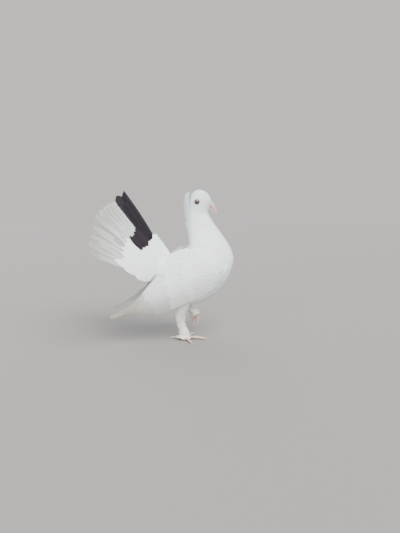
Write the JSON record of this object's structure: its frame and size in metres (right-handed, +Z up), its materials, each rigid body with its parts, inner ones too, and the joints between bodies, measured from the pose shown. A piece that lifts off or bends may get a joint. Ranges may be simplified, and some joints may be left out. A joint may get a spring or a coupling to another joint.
{
  "type": "fantail pigeon figure",
  "caption": "Life-size still fantail pigeon, standing on one foot with the other raised, tail fan spread and raised, wings drooped below it.",
  "frame": {"origin": "on the floor, under the ball of the standing right foot", "axes": "+Z up, +X towards the breast and bill, +Y towards the bird's left"},
  "size_m": [0.2421, 0.2219, 0.28],
  "materials": {
    "white_plumage": "soft matt white feathers, a dark group in the middle of the tail",
    "bill": "pale pink horn",
    "eye": "wet, dark",
    "toe_skin": "scaly pink skin",
    "claw": "pale horn"
  },
  "bodies": {
    "root": {"head": "white_plumage", "neck": "white_plumage", "torso": "white_plumage", "crest": "white_plumage", "wing_left": "white_plumage", "wing_right": "white_plumage", "tail_left": "white_plumage", "tail_right": "white_plumage", "thigh_left": "white_plumage", "thigh_right": "white_plumage", "shank_left": "white_plumage", "shank_right": "white_plumage", "bill_upper": "bill", "bill_lower": "bill", "eye_left": "eye", "eye_right": "eye", "foot_left": "toe_skin", "foot_right": "toe_skin", "claw_left_1": "claw", "claw_left_2": "claw", "claw_left_3": "claw", "claw_left_4": "claw", "claw_right_1": "claw", "claw_right_2": "claw", "claw_right_3": "claw", "claw_right_4": "claw"}
  },
  "joints": []
}
